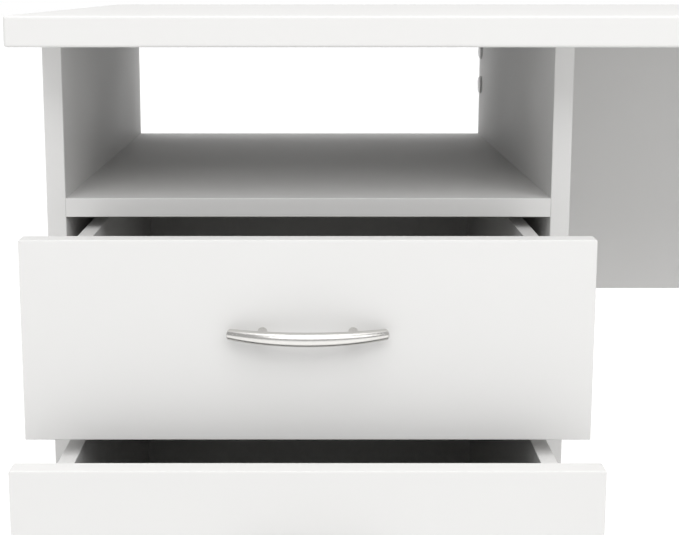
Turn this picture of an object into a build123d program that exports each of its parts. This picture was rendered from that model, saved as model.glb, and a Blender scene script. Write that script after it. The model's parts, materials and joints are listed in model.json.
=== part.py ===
"""Corner desk: a 22 mm top with a wing that comes forward at the right, carried by a pedestal with an
open cubby and two drawers, a right gable and a wing end panel, all in 15 mm faced board.

Millimetres. +X runs to the user's right, +Y to the back, +Z up, with the floor at zero. The origin is
the centre of the desk's footprint. The drawers rest part open: the upper one by upper_opening, the
lower one by lower_opening.
"""

import math
import os

from build123d import *

os.makedirs("parts", exist_ok=True)

# Desk
desk_width = 1450
desk_depth = 812
desk_height = 768
top_thickness = 22
left_depth = 500
wing_width = 460
sweep_radius = 300
top_edge_radius = 2
top_corner_radius = 3

# Carcass
board = 15
edge_radius = 0.8
glide_height = 4
side_overhang = 8
pedestal_width = 410
pedestal_depth = 416
cubby_height = 122
bottom_height = 100
plinth_setback = 30
modesty_height = 296
modesty_inset = 7
leg_width = 215
back_board = 3
back_rebate = 7

# Drawers
front_width = 405
upper_front_height = 146
front_overlap_on_shelf = 4
front_gap = 3
front_overlap_on_bottom = 13
closed_gap = 1
side_top_radius = 0.5
upper_opening = 89
lower_opening = 138
box_side = 12
box_clearance = 13
box_length = 400
upper_box_below_front_top = 14
upper_box_above_front_bottom = 17
lower_box_below_front_top = 9
lower_box_above_front_bottom = 32
drawer_bottom = 3
drawer_bottom_lift = 10
groove_depth = 4

# Handle
handle_below_front_top = 66
handle_spacing = 64
bar_radius = 5
bar_tip_radius = 3.9
bar_length = 115
bow_radius = 120
bar_projection = 19.5
bar_sections = 7
post_radius = 3.5
bar_end_radius = 1.2
handle_hole_radius = 2.3
handle_screw_radius = 2
handle_screw_in_post = 10
handle_screw_head_radius = 4
handle_screw_head = 2.4

# Runners and rollers
runner_steel = 1.2
runner_length = 400
runner_front_inset = 2
wall_runner_height = 24
wall_flange = 10.8
wall_lip = 7
drawer_flange = 7.8
box_lift_in_runner = 4
roller_radius = 7
roller_width = 6
roller_gap = 0.3
roller_side_gap = 0.7
roller_edge_radius = 0.6
axle_radius = 2
axle_bore = 2.05
axle_head_radius = 3.2
axle_head = 0.8
wall_roller_from_front = 12
drawer_roller_from_back = 12
wall_screw_rows = (70, 200, 350)
wall_screw_height = 12
drawer_runner_screw_rows = (60, 190, 320)

# Confirmat screws, with their flat and domed cover caps
confirmat_radius = 3
confirmat_length = 50
confirmat_head_radius = 5
confirmat_head = 3
socket_radius = 2
cap_peg = 2.5
screw_from_front = 50
screw_from_back = 60
leg_screw_heights = (110, 380, 650)
modesty_screws_below_top = (28, 66, 206)
flat_cap_radius = 6
flat_cap_height = 1.2
flat_cap_edge_radius = 0.5
domed_cap_radius = 9.5
domed_cap_height = 2.6
domed_cap_edge_radius = 1.8

# Dowels
dowel_radius = 4
dowel_length = 30
dowel_in_face = 11
modesty_dowel_height = 130
leg_dowel_heights = (245, 515)

# Brackets and small wood screws
bracket_leg = 15
bracket_foot = 20
bracket_width = 20
bracket_steel = 1.5
bracket_screw_along_foot = 13
bracket_screw_down_leg = 9
wall_bracket_rows = (230, 345)
gable_bracket_rows = (-250, 0, 250)
leg_bracket_columns = (550, 650)
modesty_bracket_columns = (-100, 200, 500)
wood_screw_radius = 1.75
wood_screw_length = 13
wood_screw_head_radius = 3.5
wood_screw_head = 2

# Back board nails
nail_radius = 0.8
nail_length = 18
nail_head_radius = 1.5
nail_head = 0.6
nail_inset = 3.5
nail_heights = (150, 240, 330, 420, 550)
nail_columns = (-600, -424)

# Floor glides
glide_radius = 6.5
glide_edge_radius = 1
glide_inset = 25
gable_glide_rows = (-300, 20)
glide_nail_radius = 1
glide_nail_reach = 12

# Drawer fittings: cam bolts with their cams at the front, long screws at the back
fitting_above_box_bottom = 30
fitting_below_box_top = 25
fitting_spacing = 85
bolt_radius = 2.5
bolt_in_front = 10
bolt_head_radius = 2.8
bolt_head = 4
cam_radius = 6
cam_depth = 9.5
cam_from_front = 24
cam_slot = 6
cam_slot_before = 7
cam_slot_after = 2
box_screw_length = 35

# Planes of the desk
x_left = -desk_width / 2
x_right = desk_width / 2
y_back = desk_depth / 2
y_wing_end = -desk_depth / 2
y_top_front = y_back - left_depth
z_under = desk_height - top_thickness

# Planes of the pedestal
left_outer = x_left + side_overhang
left_inner = left_outer + board
right_outer = left_outer + pedestal_width
right_inner = right_outer - board
pedestal_middle = (left_outer + right_outer) / 2
y_pedestal = y_back - pedestal_depth
shelf_top = z_under - cubby_height
shelf_bottom = shelf_top - board
bottom_top = bottom_height + board

# Planes of the right end
gable_outer = x_right - side_overhang
gable_inner = gable_outer - board
leg_front = y_wing_end + side_overhang
leg_back = leg_front + board
leg_middle = (leg_front + leg_back) / 2
leg_free_edge = gable_outer - leg_width
modesty_front = y_back - modesty_inset - board
modesty_back = y_back - modesty_inset
modesty_bottom = z_under - modesty_height
modesty_middle = (modesty_front + modesty_back) / 2


def export(part, name):
    """Labels a finished piece and writes it."""
    part.label = name
    export_step(part, f"parts/{name}.step")


def slab(low, high, mode=Mode.ADD):
    """A straight-sided block between two opposite corners."""
    with Locations(tuple((l + h) / 2 for l, h in zip(low, high))):
        Box(*[h - l for l, h in zip(low, high)], mode=mode)


def rod(radius, start, end, mode=Mode.ADD):
    """A round bar, or a drilled hole, from one point to another."""
    run = Vector(*end) - Vector(*start)
    with Locations(Plane(origin=start, z_dir=run)):
        Cylinder(radius, run.length, align=(Align.CENTER, Align.CENTER, Align.MIN), mode=mode)


def ahead(point, direction, distance):
    """The point that lies a distance from another, along a direction."""
    return tuple(p + d * distance for p, d in zip(point, direction))


def meets(box, radius, start, end):
    """Whether a rod's surrounding box reaches into a part's box."""
    limits = zip(start, end, tuple(box.min), tuple(box.max))
    return all(max(s, e) + radius > low and min(s, e) - radius < high for s, e, low, high in limits)


def drill(part, holes):
    """Drills every hole of a list, each a radius and two ends, that reaches the part."""
    box = part.bounding_box()
    places = {}
    for radius, start, end in holes:
        if meets(box, radius, start, end):
            run = Vector(*end) - Vector(*start)
            places.setdefault((radius, round(run.length, 3)), []).append(Plane(origin=start, z_dir=run))
    for (radius, depth), planes in places.items():
        with Locations(*planes):
            Cylinder(radius, depth, align=(Align.CENTER, Align.CENTER, Align.MIN), mode=Mode.SUBTRACT)


def round_banded_edge(part, axis, last=False):
    """Rounds the long edges of the banded side, which is the first or last face along an axis."""
    side = part.faces().sort_by(axis)[-1 if last else 0]
    fillet([e for e in side.edges() if e.length > 2 * board], edge_radius)


# Every fitting is planned first, so that the boards can be drilled for it

# Confirmat screws: the point on the outer face, and the way they go in
shelf_middle = shelf_top - board / 2
bottom_middle = bottom_top - board / 2
screw_rows = (y_pedestal + screw_from_front, y_back - screw_from_back)
pedestal_confirmats = [
    ((x, y, z), (way, 0, 0))
    for x, way in ((left_outer, 1), (right_outer, -1))
    for y in screw_rows
    for z in (shelf_middle, bottom_middle)
]
leg_confirmats = [
    ((gable_outer, leg_middle, z), (-1, 0, 0)) for z in leg_screw_heights
]
plain_confirmats = pedestal_confirmats + leg_confirmats
modesty_confirmats = [
    ((x, modesty_middle, z_under - drop), (way, 0, 0))
    for x, way in ((right_inner, 1), (gable_outer, -1))
    for drop in modesty_screws_below_top
]
confirmats = plain_confirmats + modesty_confirmats
confirmat_holes = []
for point, way in confirmats:
    confirmat_holes.append((confirmat_head_radius, point, ahead(point, way, confirmat_head)))
    confirmat_holes.append((confirmat_radius, point, ahead(point, way, confirmat_length)))

# Dowels: the point on the face that two boards share, and the way into the board's edge
y_mid = (y_pedestal + y_back) / 2
z_plinth = (glide_height + bottom_height) / 2
y_plinth = y_pedestal + plinth_setback + board / 2
dowel_points = [
    ((x, y_mid, z), (way, 0, 0))
    for x, way in ((left_inner, -1), (right_inner, 1))
    for z in (shelf_middle, bottom_middle)
]
dowel_points += [
    ((left_inner, y_plinth, z_plinth), (-1, 0, 0)),
    ((right_inner, y_plinth, z_plinth), (1, 0, 0)),
    ((right_outer, modesty_middle, modesty_bottom + modesty_dowel_height), (-1, 0, 0)),
    ((gable_inner, modesty_middle, modesty_bottom + modesty_dowel_height), (1, 0, 0)),
]
dowel_points += [((gable_inner, leg_middle, z), (1, 0, 0)) for z in leg_dowel_heights]
dowels = [
    (dowel_radius, ahead(point, into_face, dowel_in_face),
     ahead(point, into_face, dowel_in_face - dowel_length))
    for point, into_face in dowel_points
]

# Steel brackets under the top: a point on the board's face, and the way it faces
brackets = [
    ((x, y, z_under), (way, 0, 0))
    for x, way in ((left_inner, 1), (right_inner, -1))
    for y in wall_bracket_rows
]
brackets += [((gable_inner, y, z_under), (-1, 0, 0)) for y in gable_bracket_rows]
brackets += [((x, leg_back, z_under), (0, 1, 0)) for x in leg_bracket_columns]
brackets += [((x, modesty_front, z_under), (0, -1, 0)) for x in modesty_bracket_columns]
bracket_screws = []
for point, faces in brackets:
    below_foot = ahead(ahead(point, faces, bracket_screw_along_foot), (0, 0, 1), -bracket_steel)
    beside_leg = ahead(ahead(point, faces, bracket_steel), (0, 0, 1), -bracket_screw_down_leg)
    bracket_screws.append((below_foot, (0, 0, 1)))
    bracket_screws.append((beside_leg, tuple(-f for f in faces)))
bracket_holes = [
    (wood_screw_radius, point, ahead(point, way, wood_screw_length)) for point, way in bracket_screws
]

# Nails that hold the back board
back_left = left_inner - back_rebate
back_right = right_inner + back_rebate
back_low = bottom_top - back_rebate
back_high = shelf_bottom + back_rebate
nail_spots = [(x, z) for x in (left_inner - nail_inset, right_inner + nail_inset) for z in nail_heights]
nail_spots += [(x, z) for x in nail_columns for z in (bottom_top - nail_inset, shelf_bottom + nail_inset)]
nails = [((x, y_back, z), (0, -1, 0)) for x, z in nail_spots]
nail_holes = [(nail_radius, point, ahead(point, way, nail_length)) for point, way in nails]
nail_holes += [(nail_head_radius, point, ahead(point, way, nail_head)) for point, way in nails]

# Floor glides: where each stands
glide_points = [
    (x, y)
    for x in ((left_outer + left_inner) / 2, (right_outer + right_inner) / 2)
    for y in (y_pedestal + glide_inset, y_back - glide_inset)
]
gable_middle = (gable_outer + gable_inner) / 2
glide_points += [(gable_middle, y) for y in (*gable_glide_rows, y_back - glide_inset)]
glide_points += [(leg_free_edge + glide_inset, leg_middle), (gable_inner - glide_inset, leg_middle)]
glide_nails = [
    (glide_nail_radius, (x, y, 1), (x, y, glide_height + glide_nail_reach)) for x, y in glide_points
]

carcass_holes = confirmat_holes + dowels + bracket_holes + nail_holes + glide_nails

# Drawers: bottom and top of the front, bottom and top of the box, and how far each stands open
upper_front_top = shelf_bottom + front_overlap_on_shelf
upper_front_bottom = upper_front_top - upper_front_height
lower_front_top = upper_front_bottom - front_gap
lower_front_bottom = bottom_top - front_overlap_on_bottom
drawers = {
    "upper": (upper_front_bottom, upper_front_top, upper_front_bottom + upper_box_above_front_bottom,
              upper_front_top - upper_box_below_front_top, upper_opening),
    "lower": (lower_front_bottom, lower_front_top, lower_front_bottom + lower_box_above_front_bottom,
              lower_front_top - lower_box_below_front_top, lower_opening),
}
box_closed_front = y_pedestal - closed_gap

# Wall runner screws: the point under each head, and the way it goes in
wall_runner_front = y_pedestal + runner_front_inset
sides = {"left": (left_inner, 1), "right": (right_inner, -1)}
wall_runner_screws = []
for _, _, box_low, _, _ in drawers.values():
    foot = box_low - box_lift_in_runner
    for wall, way in sides.values():
        for along in wall_screw_rows:
            under_head = (wall + way * runner_steel, wall_runner_front + along, foot + wall_screw_height)
            wall_runner_screws.append((under_head, (-way, 0, 0)))
wall_runner_holes = [
    (wood_screw_radius, point, ahead(point, way, wood_screw_length)) for point, way in wall_runner_screws
]
carcass_holes += wall_runner_holes

# Desktop: straight over the pedestal, then an inside curve into the wing
x_wing = x_right - wing_width
sweep_middle = (x_wing - sweep_radius, y_top_front - sweep_radius)
with BuildPart() as desktop:
    with BuildSketch(Plane.XY.offset(z_under)):
        with BuildLine():
            Polyline((x_wing, sweep_middle[1]), (x_wing, y_wing_end), (x_right, y_wing_end),
                     (x_right, y_back), (x_left, y_back), (x_left, y_top_front),
                     (sweep_middle[0], y_top_front))
            CenterArc(sweep_middle, sweep_radius, 0, 90)
        make_face()
    extrude(amount=top_thickness)
    corners = [e for e in desktop.edges().filter_by(Axis.Z)
               if not (abs(e.center().X - x_wing) < 1 and e.center().Y > y_wing_end + 1)
               and not abs(e.center().X - sweep_middle[0]) < 1]
    fillet(corners, top_corner_radius)
    rims = desktop.faces().filter_by(Axis.Z)
    fillet(rims.sort_by(Axis.Z)[0].edges() + rims.sort_by(Axis.Z)[-1].edges(), top_edge_radius)
    drill(desktop.part, carcass_holes)
export(desktop.part, "desktop")

# Pedestal
with BuildPart() as pedestal_left_wall:
    slab((left_outer, y_pedestal, glide_height), (left_inner, y_back, z_under))
    round_banded_edge(pedestal_left_wall.part, Axis.Y)
    slab((back_left, y_back - back_board, back_low), (left_inner, y_back, back_high), Mode.SUBTRACT)
    drill(pedestal_left_wall.part, carcass_holes)
export(pedestal_left_wall.part, "pedestal_left_wall")

with BuildPart() as pedestal_right_wall:
    slab((right_inner, y_pedestal, glide_height), (right_outer, y_back, z_under))
    round_banded_edge(pedestal_right_wall.part, Axis.Y)
    slab((right_inner, y_back - back_board, back_low), (back_right, y_back, back_high), Mode.SUBTRACT)
    drill(pedestal_right_wall.part, carcass_holes)
export(pedestal_right_wall.part, "pedestal_right_wall")

with BuildPart() as cubby_shelf:
    slab((left_inner, y_pedestal, shelf_bottom), (right_inner, y_back, shelf_top))
    round_banded_edge(cubby_shelf.part, Axis.Y)
    slab((left_inner, y_back - back_board, shelf_bottom), (right_inner, y_back, back_high), Mode.SUBTRACT)
    drill(cubby_shelf.part, carcass_holes)
export(cubby_shelf.part, "cubby_shelf")

with BuildPart() as pedestal_bottom:
    slab((left_inner, y_pedestal, bottom_height), (right_inner, y_back, bottom_top))
    round_banded_edge(pedestal_bottom.part, Axis.Y)
    slab((left_inner, y_back - back_board, back_low), (right_inner, y_back, bottom_top), Mode.SUBTRACT)
    drill(pedestal_bottom.part, carcass_holes)
export(pedestal_bottom.part, "pedestal_bottom")

with BuildPart() as pedestal_plinth:
    slab((left_inner, y_plinth - board / 2, glide_height), (right_inner, y_plinth + board / 2, bottom_height))
    drill(pedestal_plinth.part, carcass_holes)
export(pedestal_plinth.part, "pedestal_plinth")

with BuildPart() as pedestal_back:
    slab((back_left, y_back - back_board, back_low), (back_right, y_back, back_high))
    drill(pedestal_back.part, nail_holes)
export(pedestal_back.part, "pedestal_back")

# Right end and modesty panel
with BuildPart() as modesty_panel:
    slab((right_outer, modesty_front, modesty_bottom), (gable_inner, modesty_back, z_under))
    round_banded_edge(modesty_panel.part, Axis.Z)
    drill(modesty_panel.part, carcass_holes)
export(modesty_panel.part, "modesty_panel")

with BuildPart() as right_gable:
    slab((gable_inner, leg_front, glide_height), (gable_outer, y_back, z_under))
    round_banded_edge(right_gable.part, Axis.Y)
    round_banded_edge(right_gable.part, Axis.Y, last=True)
    drill(right_gable.part, carcass_holes)
export(right_gable.part, "right_gable")

with BuildPart() as wing_end_panel:
    slab((leg_free_edge, leg_front, glide_height), (gable_inner, leg_back, z_under))
    round_banded_edge(wing_end_panel.part, Axis.X)
    drill(wing_end_panel.part, carcass_holes)
export(wing_end_panel.part, "wing_end_panel")

# Brackets: an angle of bent steel, its foot under the top
with BuildPart() as top_brackets:
    for point, faces in brackets:
        outwards = Vector(*faces)
        along_board = outwards.cross(Vector(0, 0, 1))
        with BuildSketch(Plane(origin=point, x_dir=outwards, z_dir=along_board)):
            with BuildLine():
                Polyline((0, 0), (bracket_foot, 0), (bracket_foot, -bracket_steel),
                         (bracket_steel, -bracket_steel), (bracket_steel, -bracket_leg),
                         (0, -bracket_leg), close=True)
            make_face()
        extrude(amount=bracket_width / 2, both=True)
    for radius, start, end in bracket_holes:
        rod(radius, start, end, mode=Mode.SUBTRACT)
export(top_brackets.part, "top_brackets")


def wood_screw(point, way, length):
    """A small pan head screw: its head stands before the point, its shank goes in."""
    rod(wood_screw_radius, point, ahead(point, way, length))
    rod(wood_screw_head_radius, point, ahead(point, way, -wood_screw_head))


with BuildPart() as bracket_screw_set:
    for point, way in bracket_screws:
        wood_screw(point, way, wood_screw_length)
export(bracket_screw_set.part, "bracket_screws")

with BuildPart() as confirmat_set:
    for point, way in confirmats:
        rod(confirmat_radius, point, ahead(point, way, confirmat_length))
        rod(confirmat_head_radius, point, ahead(point, way, confirmat_head))
        rod(socket_radius, point, ahead(point, way, confirmat_head), mode=Mode.SUBTRACT)
export(confirmat_set.part, "carcass_screws")



def cover_caps(name, places, radius, height, edge_radius, faces):
    """Plastic caps over screw heads: a disc with a rounded rim, and a peg in the screw's socket."""
    with BuildPart() as caps:
        for point, way in places:
            rod(radius, point, ahead(point, way, -height))
        rims = [e for e in caps.edges().filter_by(GeomType.CIRCLE)
                if min(abs(e.center().X - x) for x in faces) > height / 2]
        fillet(rims, edge_radius)
        for point, way in places:
            rod(socket_radius, point, ahead(point, way, cap_peg))
    export(caps.part, name)


cover_caps("domed_caps", modesty_confirmats, domed_cap_radius, domed_cap_height, domed_cap_edge_radius,
           (right_inner, gable_outer))
cover_caps("flat_caps", plain_confirmats, flat_cap_radius, flat_cap_height, flat_cap_edge_radius,
           (left_outer, right_outer, gable_outer))

with BuildPart() as dowel_set:
    for radius, start, end in dowels:
        rod(radius, start, end)
export(dowel_set.part, "dowels")

with BuildPart() as nail_set:
    for point, way in nails:
        rod(nail_radius, point, ahead(point, way, nail_length))
        rod(nail_head_radius, point, ahead(point, way, nail_head))
export(nail_set.part, "back_board_nails")

with BuildPart() as glides:
    for x, y in glide_points:
        rod(glide_radius, (x, y, 0), (x, y, glide_height))
    fillet(glides.edges().filter_by(GeomType.CIRCLE).group_by(Axis.Z)[0], glide_edge_radius)
    for radius, start, end in glide_nails:
        rod(radius, start, end)
export(glides.part, "floor_glides")

with BuildPart() as runner_screw_set:
    for point, way in wall_runner_screws:
        wood_screw(point, way, wood_screw_length)
export(runner_screw_set.part, "wall_runner_screws")


def axle(start, way):
    """A runner's riveted axle, with its head past the roller."""
    end = ahead(start, way, roller_width + 2 * roller_side_gap)
    rod(axle_radius, start, end)
    rod(axle_head_radius, end, ahead(end, way, axle_head))


def roller(name, start, way):
    """A nylon roller, clear of the runner that carries it."""
    near = ahead(start, way, roller_side_gap)
    with BuildPart() as wheel:
        rod(roller_radius, near, ahead(near, way, roller_width))
        fillet(wheel.edges().filter_by(GeomType.CIRCLE), roller_edge_radius)
        rod(axle_bore, near, ahead(near, way, roller_width), mode=Mode.SUBTRACT)
    export(wheel.part, name)


def wall_runner(name, wall, way, foot):
    """The channel on the pedestal's wall, with a roller at its front end."""
    profile = Plane(origin=(wall, wall_runner_front, foot), x_dir=(way, 0, 0), z_dir=(0, -way, 0))
    axle_start = (wall + way * runner_steel, wall_runner_front + wall_roller_from_front,
                  foot + runner_steel + roller_gap + roller_radius)
    with BuildPart() as channel:
        with BuildSketch(profile):
            with BuildLine():
                Polyline((0, 0), (wall_flange, 0), (wall_flange, runner_steel), (runner_steel, runner_steel),
                         (runner_steel, wall_runner_height - runner_steel),
                         (wall_lip, wall_runner_height - runner_steel), (wall_lip, wall_runner_height),
                         (0, wall_runner_height), close=True)
            make_face()
        extrude(amount=-way * runner_length)
        drill(channel.part, wall_runner_holes)
        axle(axle_start, (way, 0, 0))
    export(channel.part, name)
    return axle_start


for name, (front_low, front_top, box_low, box_top, opening) in drawers.items():
    foot = box_low - box_lift_in_runner
    box_front = box_closed_front - opening
    box_back = box_front + box_length
    front_face = box_front - board
    bottom_low = box_low + drawer_bottom_lift
    bottom_high = bottom_low + drawer_bottom
    handle_height = front_top - handle_below_front_top
    side_outer = {side: wall + way * box_clearance for side, (wall, way) in sides.items()}
    side_inner = {side: side_outer[side] + sides[side][1] * box_side for side in sides}
    rear_middle = box_back - box_side / 2

    # Fittings of this drawer
    lowest_fitting = box_low + fitting_above_box_bottom
    fitting_span = box_top - fitting_below_box_top - lowest_fitting
    fitting_gaps = max(1, round(fitting_span / fitting_spacing))
    fitting_levels = [lowest_fitting + i * fitting_span / fitting_gaps for i in range(fitting_gaps + 1)]
    cam_y = box_front + cam_from_front
    cam_bolts = []
    seat_holes = []
    box_screws = []
    runner_screws = []
    for side, (wall, way) in sides.items():
        middle = side_outer[side] + way * box_side / 2
        for z in fitting_levels:
            seat = (side_inner[side], cam_y, z)
            cam_bolts.append((middle, z))
            seat_holes.append((cam_radius, seat, ahead(seat, (-way, 0, 0), cam_depth)))
            box_screws.append(((side_outer[side], rear_middle, z), (way, 0, 0)))
        runner_screws += [(middle, box_front + along) for along in drawer_runner_screw_rows]
    bolt_holes = [(bolt_radius, (x, box_front - bolt_in_front, z), (x, cam_y, z)) for x, z in cam_bolts]
    screw_holes = []
    for point, way in box_screws:
        screw_holes.append((wood_screw_radius, point, ahead(point, way, box_screw_length)))
        screw_holes.append((wood_screw_head_radius, point, ahead(point, way, wood_screw_head)))
    runner_holes = [
        (wood_screw_radius, (x, y, box_low - runner_steel), (x, y, box_low + box_side))
        for x, y in runner_screws
    ]
    post_points = [(pedestal_middle + s * handle_spacing / 2, front_face, handle_height) for s in (-1, 1)]
    handle_holes = [(handle_hole_radius, point, ahead(point, (0, 1, 0), board)) for point in post_points]

    # Front board, with a groove for the thin bottom
    groove_low = (side_inner["left"] - groove_depth, box_front - groove_depth, bottom_low)
    groove_high = (side_inner["right"] + groove_depth, box_back, bottom_high)
    with BuildPart() as front:
        slab((pedestal_middle - front_width / 2, front_face, front_low),
             (pedestal_middle + front_width / 2, box_front, front_top))
        fillet(front.edges(), edge_radius)
        slab(groove_low, groove_high, Mode.SUBTRACT)
        drill(front.part, bolt_holes + handle_holes)
    export(front.part, f"{name}_drawer_front")

    # Box
    for side in sides:
        outer = side_outer[side]
        inner = side_inner[side]
        with BuildPart() as box_board:
            slab((min(outer, inner), box_front, box_low), (max(outer, inner), box_back, box_top))
            top_edges = box_board.faces().sort_by(Axis.Z)[-1].edges()
            fillet([e for e in top_edges if e.length > 2 * board], side_top_radius)
            slab(groove_low, groove_high, Mode.SUBTRACT)
            drill(box_board.part, bolt_holes + seat_holes + screw_holes + runner_holes)
        export(box_board.part, f"{name}_drawer_{side}_side")

    with BuildPart() as rear_board:
        slab((side_inner["left"], box_back - box_side, bottom_high), (side_inner["right"], box_back, box_top))
        drill(rear_board.part, screw_holes)
    export(rear_board.part, f"{name}_drawer_back")

    with BuildPart() as thin_bottom:
        slab(groove_low, groove_high)
    export(thin_bottom.part, f"{name}_drawer_bottom")

    # Handle: a bowed bar on two posts, thickest in the middle
    bar_middle = front_face - bar_projection
    half_bar = bar_length / 2 - bar_tip_radius * bar_length / 2 / bow_radius
    bow_centre = bar_middle + bow_radius
    end_y = bow_centre - math.sqrt(bow_radius ** 2 - half_bar ** 2)
    with BuildPart() as handle:
        with BuildLine() as bow:
            ThreePointArc((pedestal_middle - half_bar, end_y, handle_height),
                          (pedestal_middle, bar_middle, handle_height),
                          (pedestal_middle + half_bar, end_y, handle_height))
        for section in range(bar_sections):
            along = section / (bar_sections - 1)
            tip_share = (2 * along - 1) ** 2
            with BuildSketch(Plane(origin=bow.line @ along, x_dir=(0, 0, 1), z_dir=bow.line % along)):
                Circle(bar_radius - (bar_radius - bar_tip_radius) * tip_share)
        loft()
        fillet(handle.faces().filter_by(GeomType.PLANE).edges(), bar_end_radius)
        post_reach = bow_centre - math.sqrt(bow_radius ** 2 - (handle_spacing / 2) ** 2) - front_face
        for point in post_points:
            rod(post_radius, point, ahead(point, (0, 1, 0), post_reach))
            thread_end = ahead(point, (0, -1, 0), handle_screw_in_post)
            rod(handle_screw_radius, point, thread_end, mode=Mode.SUBTRACT)
    export(handle.part, f"{name}_drawer_handle")

    with BuildPart() as handle_screws:
        for point in post_points:
            inside = ahead(point, (0, 1, 0), board)
            rod(handle_screw_radius, inside, ahead(inside, (0, -1, 0), board + handle_screw_in_post))
            rod(handle_screw_head_radius, inside, ahead(inside, (0, 1, 0), handle_screw_head))
    export(handle_screws.part, f"{name}_handle_screws")

    with BuildPart() as bolts:
        for x, z in cam_bolts:
            rod(bolt_radius, (x, box_front - bolt_in_front, z), (x, cam_y - bolt_head, z))
            rod(bolt_head_radius, (x, cam_y - bolt_head, z), (x, cam_y, z))
    export(bolts.part, f"{name}_front_cam_bolts")

    with BuildPart() as cams:
        for radius, start, end in seat_holes:
            rod(radius, start, end)
        for x, z in cam_bolts:
            slab((x - cam_slot / 2, cam_y - cam_slot_before, z - cam_slot / 2),
                 (x + cam_slot / 2, cam_y + cam_slot_after, z + cam_slot / 2), Mode.SUBTRACT)
    export(cams.part, f"{name}_front_cams")

    with BuildPart() as side_screws:
        for point, way in box_screws:
            rod(wood_screw_radius, point, ahead(point, way, box_screw_length))
            rod(wood_screw_head_radius, point, ahead(point, way, wood_screw_head))
    export(side_screws.part, f"{name}_box_screws")

    # Runners
    for side, (wall, way) in sides.items():
        roller_start = wall_runner(f"{name}_{side}_wall_runner", wall, way, foot)
        roller(f"{name}_{side}_wall_roller", roller_start, (way, 0, 0))

        web_inner = side_outer[side]
        web_outer = web_inner - way * runner_steel
        flange_low = foot + runner_steel + 2 * roller_gap + 2 * roller_radius
        profile = Plane(origin=(web_inner, box_front, box_low), x_dir=(-way, 0, 0), z_dir=(0, way, 0))
        rise = flange_low - box_low
        axle_start = (web_outer, box_back - drawer_roller_from_back,
                      foot + runner_steel + roller_gap + roller_radius)
        with BuildPart() as drawer_runner:
            with BuildSketch(profile):
                with BuildLine():
                    Polyline((-box_side, 0), (-box_side, -runner_steel), (runner_steel, -runner_steel),
                             (runner_steel, rise), (runner_steel + drawer_flange, rise),
                             (runner_steel + drawer_flange, rise + runner_steel), (0, rise + runner_steel),
                             (0, 0), close=True)
                make_face()
            extrude(amount=way * runner_length)
            drill(drawer_runner.part, runner_holes)
            axle(axle_start, (-way, 0, 0))
        export(drawer_runner.part, f"{name}_{side}_drawer_runner")
        roller(f"{name}_{side}_drawer_roller", axle_start, (-way, 0, 0))

    with BuildPart() as small_screws:
        for x, y in runner_screws:
            wood_screw((x, y, box_low - runner_steel), (0, 0, 1), box_side + runner_steel)
    export(small_screws.part, f"{name}_drawer_runner_screws")
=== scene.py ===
"""Looks of the corner desk: materials, fittings, floor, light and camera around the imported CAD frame.

Metres. +X runs to the user's right, +Y to the back, +Z up, with the floor at zero.
"""

import json
import math

import bmesh
import bpy
from mathutils import Matrix, Vector

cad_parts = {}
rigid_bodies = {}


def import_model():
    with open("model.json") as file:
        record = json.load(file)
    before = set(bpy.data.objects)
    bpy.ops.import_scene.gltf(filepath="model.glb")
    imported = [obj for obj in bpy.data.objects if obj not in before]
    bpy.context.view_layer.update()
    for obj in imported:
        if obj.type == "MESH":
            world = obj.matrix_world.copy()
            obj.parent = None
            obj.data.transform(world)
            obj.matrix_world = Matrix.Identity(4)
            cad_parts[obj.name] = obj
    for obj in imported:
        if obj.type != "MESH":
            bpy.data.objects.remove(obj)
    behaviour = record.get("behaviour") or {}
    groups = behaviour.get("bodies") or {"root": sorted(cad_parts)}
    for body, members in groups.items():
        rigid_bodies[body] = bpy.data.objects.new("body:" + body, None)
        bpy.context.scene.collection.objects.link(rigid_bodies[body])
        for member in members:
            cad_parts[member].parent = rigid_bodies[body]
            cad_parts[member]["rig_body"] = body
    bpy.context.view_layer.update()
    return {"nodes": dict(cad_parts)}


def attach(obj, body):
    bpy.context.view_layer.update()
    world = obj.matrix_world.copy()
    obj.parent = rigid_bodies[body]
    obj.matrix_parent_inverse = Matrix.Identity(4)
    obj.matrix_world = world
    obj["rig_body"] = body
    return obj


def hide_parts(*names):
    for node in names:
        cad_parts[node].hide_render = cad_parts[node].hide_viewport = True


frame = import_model()
nodes = frame["nodes"]
scene = bpy.context.scene


# ---------------------------------------------------------------- camera

CAMERA_PLACE = (-0.5088, -0.9309, 0.7889)
CAMERA_PITCH = 8.65          # degrees below the horizon
CAMERA_LENS = 63.3           # millimetres on a 36 mm sensor
CAMERA_SHIFT = (0.040, -0.148)


def make_camera():
    data = bpy.data.cameras.new("camera")
    data.lens = CAMERA_LENS
    data.sensor_width = 36.0
    data.shift_x, data.shift_y = CAMERA_SHIFT
    data.clip_start = 0.05
    data.clip_end = 100.0
    camera = bpy.data.objects.new("camera", data)
    camera.location = CAMERA_PLACE
    camera.rotation_euler = (math.radians(90.0 - CAMERA_PITCH), 0.0, 0.0)
    scene.collection.objects.link(camera)
    scene.camera = camera


# ---------------------------------------------------------------- studio

FRONT_LEVEL = 0.60           # brightness of the white surroundings in front of the desk
BACK_LEVEL = 0.38            # and behind it
OVERHEAD_LEVEL = 2.1         # added straight overhead
OVERHEAD_RISE = (0.80, 0.97) # upward part of the direction where that starts, and where it is full
DIRECT_BOUNCES = 2.5         # light past this ray depth, less its reflections, counts as bounced
BOUNCED_SHARE = 0.1          # how much light counts once it has bounced between surfaces
FLOOR_GLOW = 0.70            # light that the floor gives the desk from below
FLOOR_GLOW_SEEN = 0.56       # and its glow as the camera sees it
FLOOR_SIZE = 60.0
SOFTBOX_POWER = 22.0         # watts
SOFTBOX_PLACE = (0.1, -1.7, 2.05)
SOFTBOX_TILT = 50.0          # degrees from facing straight down
SOFTBOX_SIZE = (3.4, 1.1)


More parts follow.
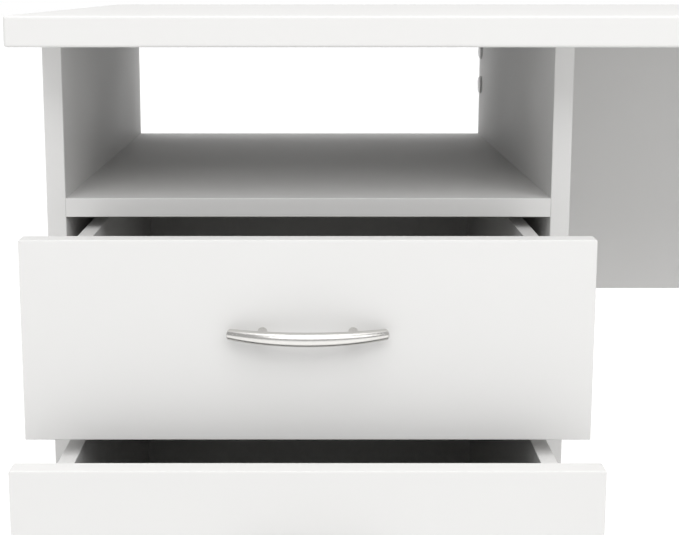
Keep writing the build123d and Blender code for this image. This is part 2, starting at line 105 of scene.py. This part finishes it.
def calculate(tree, operation, first, second):
    """A Math node on two values, each a socket or a number."""
    node = tree.nodes.new("ShaderNodeMath")
    node.operation = operation
    for socket, value in zip(node.inputs, (first, second)):
        if isinstance(value, (int, float)):
            socket.default_value = value
        else:
            tree.links.new(value, socket)
    return node.outputs[0]


def ramp(tree, value, from_range, to_range):
    """A value stretched from one range to another, and held at its ends."""
    node = tree.nodes.new("ShaderNodeMapRange")
    node.inputs["From Min"].default_value, node.inputs["From Max"].default_value = from_range
    node.inputs["To Min"].default_value, node.inputs["To Max"].default_value = to_range
    tree.links.new(value, node.inputs["Value"])
    return node.outputs["Result"]


def bounce_share(tree):
    """How much light counts, in full until it has bounced, and whether the camera looks straight at it."""
    path = tree.nodes.new("ShaderNodeLightPath")
    bounces = calculate(tree, "SUBTRACT", path.outputs["Ray Depth"], path.outputs["Glossy Depth"])
    direct = calculate(tree, "LESS_THAN", bounces, DIRECT_BOUNCES)
    return ramp(tree, direct, (0.0, 1.0), (BOUNCED_SHARE, 1.0)), path.outputs["Is Camera Ray"]


def make_world():
    """White surroundings, brighter in front and overhead than behind. The camera sees them plain white."""
    world = bpy.data.worlds.new("studio")
    scene.world = world
    world.use_nodes = True
    tree = world.node_tree
    background = tree.nodes["Background"]
    background.inputs["Color"].default_value = (1.0, 1.0, 1.0, 1.0)
    direction = tree.nodes.new("ShaderNodeSeparateXYZ")
    tree.links.new(tree.nodes.new("ShaderNodeTexCoord").outputs["Generated"], direction.inputs[0])
    depth = ramp(tree, direction.outputs["Y"], (-1.0, 1.0), (FRONT_LEVEL, BACK_LEVEL))
    overhead = ramp(tree, direction.outputs["Z"], OVERHEAD_RISE, (0.0, OVERHEAD_LEVEL))
    share, seen = bounce_share(tree)
    level = calculate(tree, "MULTIPLY", calculate(tree, "ADD", depth, overhead), share)
    tree.links.new(calculate(tree, "MAXIMUM", level, seen), background.inputs["Strength"])


def make_softbox():
    data = bpy.data.lights.new("softbox", "AREA")
    data.shape = "RECTANGLE"
    data.size, data.size_y = SOFTBOX_SIZE
    data.energy = SOFTBOX_POWER
    light = bpy.data.objects.new("softbox", data)
    light.location = SOFTBOX_PLACE
    light.rotation_euler = (math.radians(SOFTBOX_TILT), 0.0, 0.0)
    scene.collection.objects.link(light)


def make_floor():
    mesh = bpy.data.meshes.new("floor")
    half = FLOOR_SIZE / 2
    corners = [(-half, -half, 0), (half, -half, 0), (half, half, 0), (-half, half, 0)]
    mesh.from_pydata(corners, [], [(0, 1, 2, 3)])
    floor = bpy.data.objects.new("floor", mesh)
    scene.collection.objects.link(floor)
    material, tree, shader, coords = start_material("floor", 0.7)
    speckle = noise(tree, coords, 3.0)
    colour_between(tree, shader, speckle, (0.61, 0.61, 0.61), (0.63, 0.63, 0.625))
    shader.inputs["Emission Color"].default_value = (1.0, 1.0, 1.0, 1.0)
    share, seen = bounce_share(tree)
    glow = ramp(tree, seen, (0.0, 1.0), (FLOOR_GLOW, FLOOR_GLOW_SEEN))
    tree.links.new(calculate(tree, "MULTIPLY", share, glow), shader.inputs["Emission Strength"])
    mesh.materials.append(material)


# ---------------------------------------------------------------- material helpers

PATTERN_RANGE = (0.3, 0.7)   # the part of a noise pattern's values that changes the roughness


def start_material(name, roughness, metallic=0.0, gloss=0.5):
    """A new material, its tree, its shader and its object coordinates, in metres."""
    material = bpy.data.materials.new(name)
    material.use_nodes = True
    tree = material.node_tree
    shader = tree.nodes["Principled BSDF"]
    shader.inputs["Roughness"].default_value = roughness
    shader.inputs["Metallic"].default_value = metallic
    shader.inputs["Specular IOR Level"].default_value = gloss
    coords = tree.nodes.new("ShaderNodeTexCoord").outputs["Object"]
    return material, tree, shader, coords


def noise(tree, coords, scale, detail=2.0, stretch=(1.0, 1.0, 1.0)):
    """Noise with about this many grains to the metre, longer where stretch is small."""
    mapping = tree.nodes.new("ShaderNodeMapping")
    mapping.inputs["Scale"].default_value = stretch
    texture = tree.nodes.new("ShaderNodeTexNoise")
    texture.inputs["Scale"].default_value = scale
    texture.inputs["Detail"].default_value = detail
    tree.links.new(coords, mapping.inputs["Vector"])
    tree.links.new(mapping.outputs["Vector"], texture.inputs["Vector"])
    return texture.outputs["Fac"]


def colour_between(tree, shader, amount, first, second):
    """Base colour that runs between two colours with a pattern."""
    mix = tree.nodes.new("ShaderNodeMix")
    mix.data_type = "RGBA"
    mix.inputs["A"].default_value = (*first, 1.0)
    mix.inputs["B"].default_value = (*second, 1.0)
    tree.links.new(amount, mix.inputs["Factor"])
    tree.links.new(mix.outputs["Result"], shader.inputs["Base Color"])


def roughness_between(tree, shader, amount, low, high):
    """Roughness that runs between two levels with a pattern."""
    tree.links.new(ramp(tree, amount, PATTERN_RANGE, (low, high)), shader.inputs["Roughness"])


def bump(tree, shader, height, depth, strength=1.0):
    """Surface relief of about this depth in metres."""
    node = tree.nodes.new("ShaderNodeBump")
    node.inputs["Distance"].default_value = depth
    node.inputs["Strength"].default_value = strength
    tree.links.new(height, node.inputs["Height"])
    tree.links.new(node.outputs["Normal"], shader.inputs["Normal"])


# ---------------------------------------------------------------- materials

def melamine(name, light, dark):
    """Melamine-faced board: satin white with a fine pearl grain."""
    material, tree, shader, coords = start_material(name, 0.55, gloss=0.1)
    cloud = noise(tree, coords, 9.0, 4.0)
    pearl = noise(tree, coords, 900.0, 2.0)
    colour_between(tree, shader, cloud, light, dark)
    roughness_between(tree, shader, cloud, 0.50, 0.60)
    bump(tree, shader, pearl, 0.00002, 0.5)
    return material


def satin_nickel():
    """Nickel plate with a fine brushed grain along the bar."""
    material, tree, shader, coords = start_material("satin_nickel", 0.24, 1.0)
    grain = noise(tree, coords, 1400.0, 2.0, (0.02, 1.0, 1.0))
    colour_between(tree, shader, grain, (0.66, 0.65, 0.63), (0.60, 0.59, 0.57))
    roughness_between(tree, shader, grain, 0.20, 0.28)
    bump(tree, shader, grain, 0.000004, 0.5)
    return material


def coated_steel():
    """Runner steel with a cream epoxy coat, slightly orange-peeled."""
    material, tree, shader, coords = start_material("runner_steel", 0.35)
    peel = noise(tree, coords, 500.0, 1.0)
    colour_between(tree, shader, peel, (0.78, 0.77, 0.74), (0.74, 0.73, 0.70))
    roughness_between(tree, shader, peel, 0.28, 0.40)
    bump(tree, shader, peel, 0.00003, 0.4)
    return material


def zinc(name, colour, roughness):
    """Zinc plate with a faint mottle."""
    material, tree, shader, coords = start_material(name, roughness, 1.0)
    mottle = noise(tree, coords, 350.0, 4.0)
    darker = tuple(0.82 * c for c in colour)
    colour_between(tree, shader, mottle, colour, darker)
    roughness_between(tree, shader, mottle, roughness - 0.06, roughness + 0.10)
    bump(tree, shader, mottle, 0.00001, 0.4)
    return material


def plastic(name, light, dark, roughness, grains=1200.0):
    """Moulded plastic with a very fine spark-eroded texture."""
    material, tree, shader, coords = start_material(name, roughness)
    texture = noise(tree, coords, grains, 2.0)
    colour_between(tree, shader, texture, light, dark)
    roughness_between(tree, shader, texture, roughness - 0.05, roughness + 0.07)
    bump(tree, shader, texture, 0.00001, 0.5)
    return material


def hardboard(name, light, dark):
    """Thin painted hardboard with a faint pressed fibre."""
    material, tree, shader, coords = start_material(name, 0.5)
    fibre = noise(tree, coords, 260.0, 6.0, (1.0, 1.0, 0.35))
    colour_between(tree, shader, fibre, light, dark)
    roughness_between(tree, shader, fibre, 0.42, 0.58)
    bump(tree, shader, fibre, 0.00004, 0.5)
    return material


def beech():
    """Turned beech with a grain along X."""
    material, tree, shader, coords = start_material("dowel_wood", 0.6)
    grain = noise(tree, coords, 600.0, 4.0, (0.06, 1.0, 1.0))
    colour_between(tree, shader, grain, (0.66, 0.47, 0.30), (0.50, 0.33, 0.19))
    bump(tree, shader, grain, 0.00005, 0.5)
    return material


def make_materials():
    """One material for each of the record's slots."""
    return {
        "white_board": melamine("white_board", (0.860, 0.855, 0.845), (0.845, 0.840, 0.828)),
        "drawer_board": melamine("drawer_board", (0.840, 0.835, 0.825), (0.820, 0.815, 0.802)),
        "drawer_bottom_board": hardboard("drawer_bottom_board", (0.83, 0.825, 0.81), (0.79, 0.785, 0.77)),
        "back_board": hardboard("back_board", (0.83, 0.825, 0.81), (0.79, 0.785, 0.77)),
        "satin_nickel": satin_nickel(),
        "runner_steel": coated_steel(),
        "nylon": plastic("nylon", (0.86, 0.855, 0.83), (0.82, 0.81, 0.78), 0.40),
        "zinc_steel": zinc("zinc_steel", (0.66, 0.67, 0.69), 0.32),
        "cam_zinc": zinc("cam_zinc", (0.58, 0.58, 0.59), 0.42),
        "white_plastic": plastic("white_plastic", (0.86, 0.855, 0.845), (0.84, 0.835, 0.825), 0.35),
        "glide_plastic": plastic("glide_plastic", (0.80, 0.79, 0.77), (0.75, 0.74, 0.72), 0.50),
        "dowel_wood": beech(),
    }


def dress_frame(materials):
    """Gives each CAD node the material of its slot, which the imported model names."""
    for node in nodes.values():
        for place in node.material_slots:
            place.material = materials[place.material.name.split(".")[0]]


# ---------------------------------------------------------------- screws

SCREW_NODES = (
    "bracket_screws", "wall_runner_screws",
    "upper_box_screws", "upper_handle_screws", "upper_drawer_runner_screws",
    "lower_box_screws", "lower_handle_screws", "lower_drawer_runner_screws",
)
SCREW_SIDES = 24
SAME_PLACE = 1e-6            # metres within which two vertices are one
CROWN = 0.45                 # the domed share of a head's height
CROWN_STEPS = 5
WIDE = 0.9                   # further out than this share of the head's radius is the head's rim
THREAD_PITCH = 0.0014
THREAD_ROOT = 0.3            # where a thread starts, as a share of the pitch
THREAD_HALF = 0.35           # half the thread's own height, as a share of the pitch
CORE = 0.72                  # core radius as a share of the thread's
RECESS_ARM = 0.62            # half length of the cross as a share of the head's radius
RECESS_WIDTH = 0.15
RECESS_DEPTH = 0.75          # as a share of the head's height
RECESS_TAPER = 0.55          # the recess's size at its bottom, as a share of its top
SHARP_ANGLE = 35.0           # degrees between faces above which an edge stays sharp


def islands(mesh):
    """The vertices of each separate solid in a mesh, as lists of points."""
    work = bmesh.new()
    work.from_mesh(mesh)
    bmesh.ops.remove_doubles(work, verts=work.verts, dist=SAME_PLACE)
    seen = set()
    groups = []
    for start in work.verts:
        if start in seen:
            continue
        seen.add(start)
        group = [start]
        for vertex in group:
            for edge in vertex.link_edges:
                other = edge.other_vert(vertex)
                if other not in seen:
                    seen.add(other)
                    group.append(other)
        groups.append([vertex.co.copy() for vertex in group])
    work.free()
    return groups


def measure_screw(points):
    """A screw's middle of the head's top, the way it faces, and its sizes."""
    low = Vector(min(p[i] for p in points) for i in range(3))
    high = Vector(max(p[i] for p in points) for i in range(3))
    middle = (low + high) / 2
    size = high - low
    axis = max(range(3), key=lambda i: size[i])
    way = Vector((0.0, 0.0, 0.0))
    way[axis] = 1.0

    def reach(point):
        across = point - middle
        across[axis] = 0.0
        return across.length

    head_radius = max(reach(p) for p in points)
    rim = WIDE * head_radius
    ends = (low[axis], high[axis])
    wide = [p[axis] for p in points if reach(p) > rim]
    narrow = [reach(p) for p in points if p[axis] in ends and reach(p) < rim]
    if min(wide) - low[axis] < high[axis] - max(wide):
        way = -way
    top = middle + way * size[axis] / 2
    return top, way, head_radius, max(narrow), max(wide) - min(wide), size[axis]


def lathe(work, profile, sides):
    """Turns a profile of radius and height about Z into a closed solid."""
    rings = []
    for radius, height in profile:
        if radius == 0.0:
            rings.append([work.verts.new((0.0, 0.0, height))])
            continue
        turn = [2 * math.pi * i / sides for i in range(sides)]
        rings.append([work.verts.new((radius * math.cos(a), radius * math.sin(a), height)) for a in turn])
    for upper, lower in zip(rings, rings[1:]):
        for i in range(sides):
            corners = [upper[i % len(upper)], lower[i % len(lower)],
                       lower[(i + 1) % len(lower)], upper[(i + 1) % len(upper)]]
            work.faces.new(list(dict.fromkeys(corners)))


def screw_profile(head_radius, radius, head, length):
    """A pan head with a soft crown, a threaded shank and a point, from the top down."""
    crown = CROWN * head
    profile = [(0.0, 0.0)]
    for step in range(1, CROWN_STEPS + 1):
        angle = math.pi / 2 * step / CROWN_STEPS
        profile.append((head_radius * math.sin(angle), crown * (math.cos(angle) - 1)))
    profile += [(head_radius, -head), (CORE * radius, -head)]
    point = 2 * radius
    turns = int((length - head - point) / THREAD_PITCH)
    half = THREAD_HALF * THREAD_PITCH
    for turn in range(turns):
        root = -head - (turn + THREAD_ROOT) * THREAD_PITCH
        profile += [(CORE * radius, root), (radius, root - half), (CORE * radius, root - 2 * half)]
    profile += [(CORE * radius, -length + point), (0.0, -length)]
    return profile


def cross_cutter(work, arm, half_width, depth):
    """Two crossed wedges that stand a little out of the head's top."""
    for along, across in ((arm, half_width), (half_width, arm)):
        rings = []
        for height, scale in ((depth / 2, 1.0), (-depth, RECESS_TAPER)):
            rings.append([work.verts.new((x * along * scale, y * across * scale, height))
                          for x, y in ((-1, -1), (1, -1), (1, 1), (-1, 1))])
        top, bottom = rings
        work.faces.new(top)
        work.faces.new(bottom[::-1])
        for i in range(4):
            work.faces.new((top[i], bottom[i], bottom[(i + 1) % 4], top[(i + 1) % 4]))


def mesh_object(name, make, *sizes):
    """A new object whose mesh a function fills in."""
    work = bmesh.new()
    make(work, *sizes)
    bmesh.ops.recalc_face_normals(work, faces=work.faces)
    mesh = bpy.data.meshes.new(name)
    work.to_mesh(mesh)
    work.free()
    made = bpy.data.objects.new(name, mesh)
    scene.collection.objects.link(made)
    return made


def cross_head_screw(head_radius, radius, head, length):
    """The mesh of one screw, its head's top at the origin and facing up."""
    blank = mesh_object("screw_blank", lathe, screw_profile(head_radius, radius, head, length), SCREW_SIDES)
    cutter = mesh_object("screw_cutter", cross_cutter, RECESS_ARM * head_radius,
                         RECESS_WIDTH * head_radius, RECESS_DEPTH * head)
    cut = blank.modifiers.new("recess", "BOOLEAN")
    cut.object = cutter
    cut.use_self = True
    bpy.context.view_layer.update()
    finished = blank.evaluated_get(bpy.context.evaluated_depsgraph_get())
    mesh = bpy.data.meshes.new_from_object(finished)
    bpy.data.objects.remove(blank)
    bpy.data.objects.remove(cutter)
    return mesh


def detail_screws(materials):
    """Replaces each set of plain screws by one with crowned heads, cross recesses and threads."""
    screws = {}
    for name in SCREW_NODES:
        node = nodes[name]
        work = bmesh.new()
        for points in islands(node.data):
            top, way, *sizes = measure_screw(points)
            key = tuple(round(size, 5) for size in sizes)
            if key not in screws:
                screws[key] = cross_head_screw(*key)
            mesh = screws[key].copy()
            mesh.transform(Matrix.Translation(top) @ way.to_track_quat("Z", "Y").to_matrix().to_4x4())
            work.from_mesh(mesh)
            bpy.data.meshes.remove(mesh)
        mesh = bpy.data.meshes.new(name + "_cross_head")
        work.to_mesh(mesh)
        work.free()
        mesh.materials.append(materials["zinc_steel"])
        mesh.shade_smooth()
        mesh.set_sharp_from_angle(angle=math.radians(SHARP_ANGLE))
        piece = bpy.data.objects.new(name + "_cross_head", mesh)
        scene.collection.objects.link(piece)
        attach(piece, node["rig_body"])
        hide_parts(name)


# ---------------------------------------------------------------- making the scene

scene.view_settings.view_transform = "Standard"
make_camera()
make_world()
make_softbox()
make_floor()
finishes = make_materials()
dress_frame(finishes)
detail_screws(finishes)
